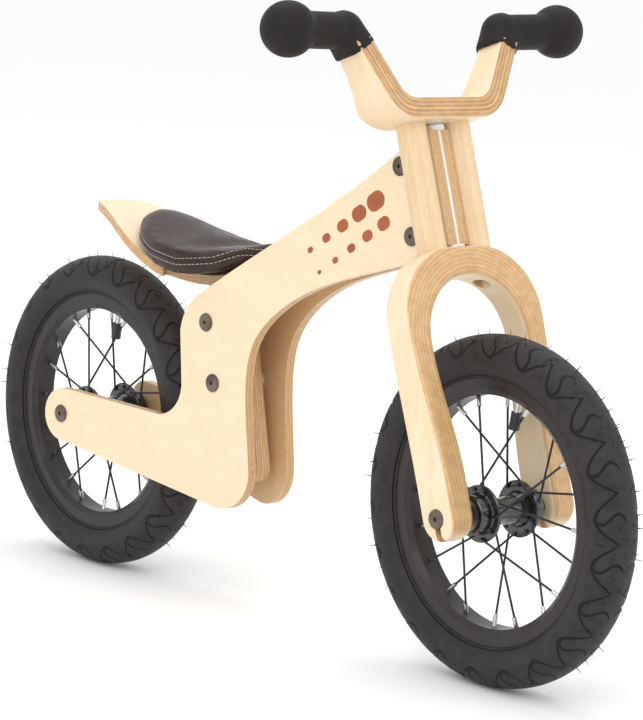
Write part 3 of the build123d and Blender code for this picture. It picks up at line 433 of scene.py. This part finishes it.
for word in ("front", "rear"):
    for name, material in (("inner_tube", softRubber), ("rim_tape", softRubber), ("rim", rimMetal),
                           ("spokes", spokeMetal), ("nipples", silver), ("hub", hubMetal),
                           ("bearings", silver),
                           ("valve", silver), ("valve_cap", softRubber), ("axle", silver),
                           ("axle_bolts", bronze), ("axle_spacers", hubMetal)):
        coat(f"{word}_{name}", material)
for name in ("seat_bolts", "seat_sleeve_nuts", "head_bolts", "head_sleeve_nuts"):
    coat(name, bronze)
for name in ("head_sleeve", "head_bushing_top", "head_bushing_bottom", "head_spacers", "seat_spacers"):
    coat(name, whitePlastic)
for name in ("pillar_bolts", "handlebar_nuts", "steering_pin", "steering_washer", "bar_stub_right",
             "bar_stub_left",
             "saddle_screws"):
    coat(name, silver)
print("metal and plastic finished")


def newPiece(name, mesh, material, body, slotName, *replaced):
    piece = bpy.data.objects.new(name, mesh)
    bpy.context.scene.collection.objects.link(piece)
    mesh.materials.clear()
    mesh.materials.append(material)
    for polygon in mesh.polygons:
        polygon.use_smooth = True
    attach(piece, body)
    if replaced:
        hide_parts(*replaced)
    return piece


tread = {
    "steps": 600, "pitch": 22, "grooveDepth": 0.0012, "grooveWidth": 0.055, "sweep": 0.12, "ridge": 0.0006,
    "outer": ((112.6, 11.5), (113.9, 13.4), (115.0, 14.6), (117.5, 17.3), (121.5, 20.3), (126, 22.0),
              (131, 22.5),
              (135.5, 21.9), (139.5, 20.2), (143, 17.6), (145.9, 14.2), (148.0, 10.3), (149.3, 6.2),
              (149.9, 2.8),
              (150, 0)),
    "inner": ((145, 0), (143.5, 8), (138, 15.8), (130, 18.9), (122, 16.9), (115.5, 12.2), (112.5, 9.9),
              (107, 7.6),
              (106.6, 11.1)),
}


def smoothLine(points, times):
    # rounds a run of points with an even curve through them
    result = []
    for index in range(len(points) - 1):
        before = Vector(points[max(index - 1, 0)])
        first, second = Vector(points[index]), Vector(points[index + 1])
        after = Vector(points[min(index + 2, len(points) - 1)])
        for step in range(times):
            t = step / times
            square = 2 * before - 5 * first + 4 * second - after
            cube = 3 * first - before - 3 * second + after
            result.append(0.5 * (2 * first + (second - before) * t + square * t ** 2 + cube * t ** 3))
    return result + [Vector(points[-1])]


def treadHeight(turn, share, side):
    # ridges on the wall and notches over the crown, share is 0 at the bead and 1 at the crown
    if 0.10 < share < 0.13 or 0.24 < share < 0.26:
        return tread["ridge"]
    if share < 0.6:
        return 0.0
    phase = turn * tread["pitch"] / (2 * math.pi) + (0.5 if side > 0 else 0.0)
    place = abs((phase + 0.5 + tread["sweep"] * math.sin(share * 6)) % 1.0 - 0.5)
    notch = max(0.0, min(1.0, (tread["grooveWidth"] - place) / 0.03)) if share < 0.96 else 0.0
    return -tread["grooveDepth"] * notch


def tyreMesh(name, centre):
    half = smoothLine(tread["outer"], 3)
    total = len(half) - 1
    section = []
    for side, order in ((1, range(total + 1)), (-1, range(total - 1, -1, -1))):
        for index in order:
            ahead, behind = half[min(index + 1, total)], half[max(index - 1, 0)]
            along = (ahead - behind).normalized()
            normal = Vector((-along.y, along.x)) if index < total else Vector((1, 0))
            normal = normal if normal.dot(half[index] - Vector((130, 0))) > 0 else -normal
            section.append((half[index].x / 1000, side * half[index].y / 1000, normal.x, side * normal.y,
                            index / total, side))
    closing = [(x / 1000, -y / 1000) for x, y in reversed(tread["inner"])]
    closing += [(x / 1000, y / 1000) for x, y in tread["inner"][1:]]
    vertices, faces = [], []
    count = len(section) + len(closing)
    for step in range(tread["steps"]):
        turn = 2 * math.pi * step / tread["steps"]
        cos, sin = math.cos(turn), math.sin(turn)
        for x, y, nx, ny, share, side in section:
            lift = treadHeight(turn, share, side)
            radius = x + nx * lift
            vertices.append((centre.x + radius * cos, y + ny * lift, centre.z + radius * sin))
        vertices += [(centre.x + x * cos, y, centre.z + x * sin) for x, y in closing]
    for step in range(tread["steps"]):
        base, after = step * count, (step + 1) % tread["steps"] * count
        for index in range(count):
            other = (index + 1) % count
            faces.append((base + index, base + other, after + other, after + index))
    mesh = bpy.data.meshes.new(name)
    mesh.from_pydata(vertices, [], faces)
    shareOf = [(row[4], 0.5 if row[5] > 0 else 0.0) for row in section] + [(0.0, 0.0)] * len(closing)
    spots = [(step, index) for step in range(tread["steps"]) for index in range(count)]
    turns = mesh.attributes.new("turn", "FLOAT", "POINT")
    turns.data.foreach_set("value", [step * tread["pitch"] / tread["steps"] + shareOf[index][1]
                                     for step, index in spots])
    shares = mesh.attributes.new("share", "FLOAT", "POINT")
    shares.data.foreach_set("value", [shareOf[index][0] for step, index in spots])
    return outward(mesh)


def outward(mesh):
    work = bmesh.new()
    work.from_mesh(mesh)
    bmesh.ops.recalc_face_normals(work, faces=work.faces)
    work.to_mesh(mesh)
    work.free()
    return mesh


nibs = {"Spacing": 0.0105, "Length": 0.0062, "Radius": 0.0005, "Seed": 7}


def nibTree():
    # thin moulding hairs scattered over the shoulders
    tree = bpy.data.node_groups.new("mouldingHairs", "GeometryNodeTree")
    face = tree.interface
    face.new_socket("Geometry", in_out="INPUT", socket_type="NodeSocketGeometry")
    for label in ("Spacing", "Length", "Radius"):
        face.new_socket(label, in_out="INPUT", socket_type="NodeSocketFloat")
    face.new_socket("Seed", in_out="INPUT", socket_type="NodeSocketInt")
    face.new_socket("Material", in_out="INPUT", socket_type="NodeSocketMaterial")
    face.new_socket("Geometry", in_out="OUTPUT", socket_type="NodeSocketGeometry")
    start, end = tree.nodes.new("NodeGroupInput"), tree.nodes.new("NodeGroupOutput")
    spread = addNode(tree, "GeometryNodeDistributePointsOnFaces", {"Mesh": start.outputs["Geometry"],
                     "Distance Min": start.outputs["Spacing"], "Density Max": 5200.0, "Density Factor": 1.0,
                     "Seed": start.outputs["Seed"]}, distribute_method="POISSON")
    cone = addNode(tree, "GeometryNodeMeshCone", {"Vertices": 4, "Radius Top": 0.00012,
                   "Radius Bottom": start.outputs["Radius"], "Depth": start.outputs["Length"]})
    place = addNode(tree, "GeometryNodeInstanceOnPoints", {"Points": spread.outputs["Points"],
                    "Instance": cone.outputs["Mesh"], "Rotation": spread.outputs["Rotation"]})
    solid = addNode(tree, "GeometryNodeRealizeInstances", {"Geometry": place.outputs[0]})
    painted = addNode(tree, "GeometryNodeSetMaterial", {"Geometry": solid.outputs[0],
                      "Material": start.outputs["Material"]})
    tree.links.new(painted.outputs[0], end.inputs[0])
    return tree


def runTree(name, mesh, tree, values):
    # evaluates a geometry tree on a mesh and returns the plain result
    carrier = bpy.data.objects.new(name + "Carrier", mesh)
    bpy.context.scene.collection.objects.link(carrier)
    modifier = carrier.modifiers.new("tree", "NODES")
    modifier.node_group = tree
    for item in tree.interface.items_tree:
        if item.item_type == "SOCKET" and item.in_out == "INPUT" and item.name in values:
            modifier[item.identifier] = values[item.name]
    graph = bpy.context.evaluated_depsgraph_get()
    result = bpy.data.meshes.new_from_object(carrier.evaluated_get(graph))
    carrier.modifiers.clear()
    bpy.data.objects.remove(carrier)
    return result


band = {"steps": 160, "start": -52, "sweep": 284,
        "rows": ((0.1395, 0.0202), (0.1459, 0.0142), (0.1493, 0.0062),
                 (0.1493, -0.0062), (0.1459, -0.0142), (0.1395, -0.0202))}


def shoulderBand(name, centre):
    # the strip of tyre that carries hairs, clear of the ground
    steps, rows = band["steps"], band["rows"]
    vertices, faces = [], []
    for step in range(steps + 1):
        turn = math.radians(band["start"] + band["sweep"] * step / steps)
        vertices += [(centre.x + r * math.cos(turn), y, centre.z + r * math.sin(turn)) for r, y in rows]
    for step in range(steps):
        for index in range(len(rows) - 1):
            low = step * len(rows) + index
            faces.append((low, low + 1, low + len(rows) + 1, low + len(rows)))
    mesh = bpy.data.meshes.new(name)
    mesh.from_pydata(vertices, [], faces)
    if mesh.polygons[0].normal.dot(Vector(mesh.polygons[0].center) - centre) < 0:
        mesh.flip_normals()
    return mesh


hairTree = nibTree()
for word, centre in (("front", frontAxle), ("rear", rearAxle)):
    newPiece(f"{word}TyreTread", tyreMesh(f"{word}TyreTread", centre), tyreRubber, f"{word}_wheel", "tyre",
             f"{word}_tyre")
    strip = shoulderBand(f"{word}Band", centre)
    hairs = runTree(f"{word}Hairs", strip, hairTree, dict(nibs, Material=nibRubber))
    newPiece(f"{word}TyreHairs", hairs, nibRubber, f"{word}_wheel", "tyre")
    print(word, "tyre made", len(hairs.polygons))


def copyMesh(name, part):
    work = bmesh.new()
    work.from_mesh(parts[part].data)
    bmesh.ops.remove_doubles(work, verts=work.verts, dist=0.00002)
    mesh = bpy.data.meshes.new(name)
    work.to_mesh(mesh)
    work.free()
    return mesh


def applyAll(piece):
    graph = bpy.context.evaluated_depsgraph_get()
    mesh = bpy.data.meshes.new_from_object(piece.evaluated_get(graph))
    piece.modifiers.clear()
    return mesh


grips = {"voxel": 0.0016, "smoothing": 10, "factor": 0.5}
for word in ("right", "left"):
    carrier = bpy.data.objects.new("gripCarrier", copyMesh("gripShape", f"grip_{word}"))
    bpy.context.scene.collection.objects.link(carrier)
    remesh = carrier.modifiers.new("skin", "REMESH")
    remesh.mode, remesh.voxel_size = "VOXEL", grips["voxel"]
    smooth = carrier.modifiers.new("round", "SMOOTH")
    smooth.iterations, smooth.factor = grips["smoothing"], grips["factor"]
    mesh = applyAll(carrier)
    bpy.data.objects.remove(carrier)
    newPiece(f"{word}Grip", mesh, gripFoam, "steering", "foam", f"grip_{word}")
print("grips made")


saddle = {"voxel": 0.0045, "shrink": 0.0022, "pressure": 4.0, "frames": 20, "cap": 0.006,
          "piping": 0.0011, "rounds": 4, "evenness": 0.5, "heldBelow": -0.35, "quality": 6, "mass": 0.4,
          "stretch": 60, "bend": 8}


def padMesh():
    carrier = bpy.data.objects.new("padCarrier", copyMesh("padShape", "saddle_pad"))
    bpy.context.scene.collection.objects.link(carrier)
    remesh = carrier.modifiers.new("skin", "REMESH")
    remesh.mode, remesh.voxel_size = "VOXEL", saddle["voxel"]
    smooth = carrier.modifiers.new("round", "SMOOTH")
    smooth.iterations, smooth.factor = saddle["rounds"], saddle["evenness"]
    mesh = applyAll(carrier)
    carrier.data = mesh
    for vertex in mesh.vertices:
        vertex.co -= vertex.normal * saddle["shrink"]
    rest = [vertex.co.copy() for vertex in mesh.vertices]
    held = carrier.vertex_groups.new(name="held")
    under = [vertex.index for vertex in mesh.vertices if vertex.normal.z < saddle["heldBelow"]]
    held.add(under, 1.0, "REPLACE")
    cloth = carrier.modifiers.new("leather", "CLOTH")
    cloth.settings.quality = saddle["quality"]
    cloth.settings.mass = saddle["mass"]
    cloth.settings.tension_stiffness = cloth.settings.compression_stiffness = saddle["stretch"]
    cloth.settings.bending_stiffness = saddle["bend"]
    cloth.settings.use_pressure = True
    cloth.settings.uniform_pressure_force = saddle["pressure"]
    cloth.settings.vertex_group_mass = "held"
    cloth.settings.effector_weights.gravity = 0
    cloth.point_cache.frame_end = saddle["frames"]
    scene = bpy.context.scene
    for step in range(1, saddle["frames"] + 1):
        scene.frame_set(step)
    result = applyAll(carrier)
    scene.frame_set(1)
    for vertex, start in zip(result.vertices, rest):
        move = vertex.co - start
        if move.length > saddle["cap"]:
            vertex.co = start + move.normalized() * saddle["cap"]
    carrier.data = result
    carrier.vertex_groups.clear()
    carrier.modifiers.new("finer", "SUBSURF").levels = 1
    carrier.modifiers["finer"].render_levels = 1
    final = applyAll(carrier)
    bpy.data.objects.remove(carrier)
    return final


def leatherMaterial():
    material, tree, shader, place, normal = startMaterial("saddleLeather")
    speckle = fillGroup(tree, fineSpeckle, {"Position": place, "Scale": 900.0})
    creases = addNode(tree, "ShaderNodeTexVoronoi", {"Vector": place, "Scale": 420.0},
                      feature="DISTANCE_TO_EDGE")
    creaseAndShade = ramp(tree, creases.outputs["Distance"], 0.0, 0.12)
    colour = blendColour(tree, speckle.outputs["Mask"], (0.026, 0.013, 0.009, 1), (0.048, 0.025, 0.018, 1))
    # painted shade: the leather is painted darker along the crease lines, standing in for shade in the
    # creases; the same mask also drives the bump
    colour = blendColour(tree, creaseAndShade, (0.012, 0.007, 0.006, 1), colour)
    rough = ramp(tree, speckle.outputs["Mask"], 0.0, 1.0, 0.30, 0.44)
    finishMaterial(tree, shader, colour, rough, creaseAndShade, 0.25, 0.0003)
    shader.inputs["Specular IOR Level"].default_value = 0.35
    return material


leather = leatherMaterial()
thread = plainMaterial("paleThread", (0.50, 0.42, 0.34, 1), (0.36, 0.29, 0.23, 1), 0.7, 2500)
pad = newPiece("saddlePad", padMesh(), leather, "seat", "leather", "saddle_pad")
print("saddle pad made")


def padLoop(tree, lift, count=120):
    # a line round the pad where its side meets the given height over the board
    low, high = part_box("saddle_pad")
    centre = Vector(((low[0] + high[0]) / 2, 0, 0))
    loop = []
    for step in range(count):
        turn = 2 * math.pi * step / count
        aim = Vector(((high[0] - low[0]) * 0.5 * math.cos(turn),
                      (high[1] - low[1]) * 0.5 * math.sin(turn), 0))
        target = centre + aim * 1.4
        height = borderHeight(centre.x + aim.x) + lift
        start, goal = Vector((target.x, target.y, height)), Vector((centre.x + aim.x * 0.35, 0, height))
        hit = tree.ray_cast(start, (goal - start).normalized())
        if hit[0] and hit[1].z < 0.7:
            loop.append((hit[0], hit[1]))
    return loop


def borderHeight(x):
    low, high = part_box("saddle_pad")
    share = (x - low[0]) / (high[0] - low[0])
    table = ((0.0, 0.338), (0.15, 0.333), (0.35, 0.3225), (0.55, 0.3175),
             (0.75, 0.322), (0.9, 0.331), (1.0, 0.3335))
    for (left, first), (right, second) in zip(table, table[1:]):
        if share <= right:
            return first + (second - first) * max(0.0, (share - left) / (right - left))
    return table[-1][1]


def tube(name, loop, radius, lift):
    curve = bpy.data.curves.new(name, "CURVE")
    curve.dimensions, curve.bevel_depth, curve.bevel_resolution = "3D", radius, 2
    spline = curve.splines.new("POLY")
    spline.points.add(len(loop) - 1)
    for point, (place, normal) in zip(spline.points, loop):
        point.co = (*(place + normal * lift), 1)
    spline.use_cyclic_u = True
    carrier = bpy.data.objects.new(name, curve)
    bpy.context.scene.collection.objects.link(carrier)
    mesh = applyAll(carrier)
    bpy.data.objects.remove(carrier)
    return mesh


stitch = {"Length": 0.0030, "Gap": 0.0044, "Thick": 0.00042}


def stitchTree():
    # short rounded stitches laid along a closed line
    tree = bpy.data.node_groups.new("stitchRow", "GeometryNodeTree")
    face = tree.interface
    face.new_socket("Geometry", in_out="INPUT", socket_type="NodeSocketGeometry")
    for label in ("Length", "Gap", "Thick"):
        face.new_socket(label, in_out="INPUT", socket_type="NodeSocketFloat")
    face.new_socket("Material", in_out="INPUT", socket_type="NodeSocketMaterial")
    face.new_socket("Geometry", in_out="OUTPUT", socket_type="NodeSocketGeometry")
    start, end = tree.nodes.new("NodeGroupInput"), tree.nodes.new("NodeGroupOutput")
    line = addNode(tree, "GeometryNodeMeshToCurve", {"Mesh": start.outputs["Geometry"]})
    even = addNode(tree, "GeometryNodeCurveToPoints",
                   {"Curve": line.outputs[0], "Length": start.outputs["Gap"]},
                   mode="LENGTH")
    bead = addNode(tree, "GeometryNodeMeshCylinder", {"Vertices": 6, "Radius": start.outputs["Thick"],
                   "Depth": start.outputs["Length"]})
    place = addNode(tree, "GeometryNodeInstanceOnPoints", {"Points": even.outputs["Points"],
                    "Instance": bead.outputs["Mesh"], "Rotation": even.outputs["Rotation"]})
    solid = addNode(tree, "GeometryNodeRealizeInstances", {"Geometry": place.outputs[0]})
    painted = addNode(tree, "GeometryNodeSetMaterial", {"Geometry": solid.outputs[0],
                      "Material": start.outputs["Material"]})
    tree.links.new(painted.outputs[0], end.inputs[0])
    return tree


work = bmesh.new()
work.from_mesh(pad.data)
padSkin = BVHTree.FromBMesh(work)
work.free()
rows = stitchTree()
border = padLoop(padSkin, 0.0)
newPiece("padPiping0", tube("piping", border, saddle["piping"], 0.0001), leather, "seat", "leather")
for side, offset in (("Upper", 0.0028), ("Lower", -0.0028)):
    seam = padLoop(padSkin, offset)
    line = bpy.data.meshes.new("seamLine")
    line.from_pydata([place + normal * 0.0002 for place, normal in seam],
                     [(step, (step + 1) % len(seam)) for step in range(len(seam))], [])
    mesh = runTree("seam", line, rows, dict(stitch, Material=thread))
    newPiece(f"padStitches{side}0", mesh, thread, "seat", "leather")
print("saddle seams sewn")


room = {"half": 40, "drop": -0.0005, "lamps": (("key", (1.6, -2.6, 2.6), 2.2, 34),
                                              ("fill", (2.8, 1.6, 1.4), 1.8, 8),
                                              ("top", (-0.6, 0.3, 3.2), 2.6, 26))}


def studio():
    floorMesh = bpy.data.meshes.new("floor")
    corners = ((-1, -1), (1, -1), (1, 1), (-1, 1))
    floorMesh.from_pydata([(x * room["half"], y * room["half"], room["drop"]) for x, y in corners], [],
                          [(0, 1, 2, 3)])
    floor = bpy.data.objects.new("floor", floorMesh)
    bpy.context.scene.collection.objects.link(floor)
    paint, tree, shader, place, normal = startMaterial("floorPaint")
    shader.inputs["Base Color"].default_value = (0.97, 0.97, 0.97, 1)
    shader.inputs["Roughness"].default_value = 0.9
    floorMesh.materials.append(paint)
    world = bpy.data.worlds.new("softRoom")
    bpy.context.scene.world = world
    world.use_nodes = True
    world.node_tree.nodes["Background"].inputs[0].default_value = (1, 1, 1, 1)
    world.node_tree.nodes["Background"].inputs[1].default_value = 1.0
    bpy.context.scene.view_settings.view_transform = "Standard"
    for name, place, size, power in room["lamps"]:
        lamp = bpy.data.lights.new(name, "AREA")
        lamp.size, lamp.energy = size, power
        holder = bpy.data.objects.new(name, lamp)
        aim = Vector((0, 0, 0.25)) - Vector(place)
        holder.matrix_world = Matrix.Translation(place) @ aim.to_track_quat("-Z", "Y").to_matrix().to_4x4()
        bpy.context.scene.collection.objects.link(holder)


view = {"focal": 155.0, "sensor": 36.0, "place": (2.0939, -1.8138, 0.6585),
        "right": (0.6554, 0.7537, 0.0488), "up": (-0.1445, 0.0617, 0.9876)}


def placeCamera():
    lens = bpy.data.cameras.new("camera")
    lens.lens, lens.sensor_width, lens.sensor_fit = view["focal"], view["sensor"], "AUTO"
    holder = bpy.data.objects.new("camera", lens)
    right, up = Vector(view["right"]), Vector(view["up"])
    back = right.cross(up).normalized()
    up = back.cross(right).normalized()
    turn = Matrix((right.normalized(), up, back)).transposed().to_4x4()
    holder.matrix_world = Matrix.Translation(view["place"]) @ turn
    bpy.context.scene.collection.objects.link(holder)
    bpy.context.scene.camera = holder


studio()
placeCamera()
print("studio ready")
